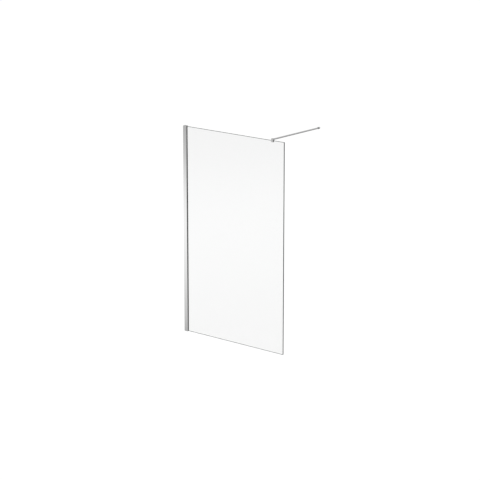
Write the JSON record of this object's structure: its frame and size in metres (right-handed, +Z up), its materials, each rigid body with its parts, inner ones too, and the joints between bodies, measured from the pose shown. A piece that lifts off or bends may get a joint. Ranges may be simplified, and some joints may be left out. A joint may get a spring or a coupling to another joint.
{
  "type": "walk-in shower screen",
  "caption": "Fixed clear glass walk-in shower screen in an adjustable bright wall profile, with a round brace from a clamp on its top edge to the facing wall.",
  "frame": {"origin": "lower end of the wall channel's back face, on the centre line of the glass, where the wall meets the tray", "axes": "+X from the wall along the glass, +Y towards the shower side and the facing wall, +Z up"},
  "size_m": [1.2, 0.7025, 2.0193],
  "materials": {
    "channel_aluminium": "plain extruded",
    "bright_aluminium": "polished, chrome look",
    "chrome": "polished",
    "stainless": "turned",
    "clear_glass": "clear, polished edges",
    "gasket_rubber": "matt",
    "edge_block_plastic": "matt",
    "cap_plastic": "silver grey, satin",
    "clear_liner": "clear, soft"
  },
  "bodies": {
    "wall_channel": {"wall_profile": "channel_aluminium", "lock_screws": "stainless"},
    "screen": {"glass_panel": "clear_glass", "glass_profile": "bright_aluminium", "front_gasket": "gasket_rubber", "rear_gasket": "gasket_rubber", "glass_edge_blocks": "edge_block_plastic", "top_cap": "cap_plastic", "bottom_foot": "cap_plastic", "cover_strip": "bright_aluminium"},
    "brace": {"clamp_body": "chrome", "clamp_liner": "clear_liner", "pressure_pad": "clear_liner", "pressure_plate": "stainless", "clamp_screws": "stainless", "bar_screw": "stainless", "brace_bar": "chrome"},
    "wall_socket": {"bar_socket": "chrome", "socket_screw": "stainless", "socket_gasket": "gasket_rubber"}
  },
  "joints": [
    {"name": "profile_adjust", "type": "slide", "parent": "wall_channel", "child": "screen", "axis": [1, 0, 0], "range_m": [0, 0.015]},
    {"name": "clamp_slide", "type": "slide", "parent": "screen", "child": "brace", "axis": [1, 0, 0], "range_m": [-1.01, 0.12]},
    {"name": "socket_slide", "type": "slide", "parent": "brace", "child": "wall_socket", "axis": [0, 1, 0], "range_m": [0, 0.01]}
  ]
}
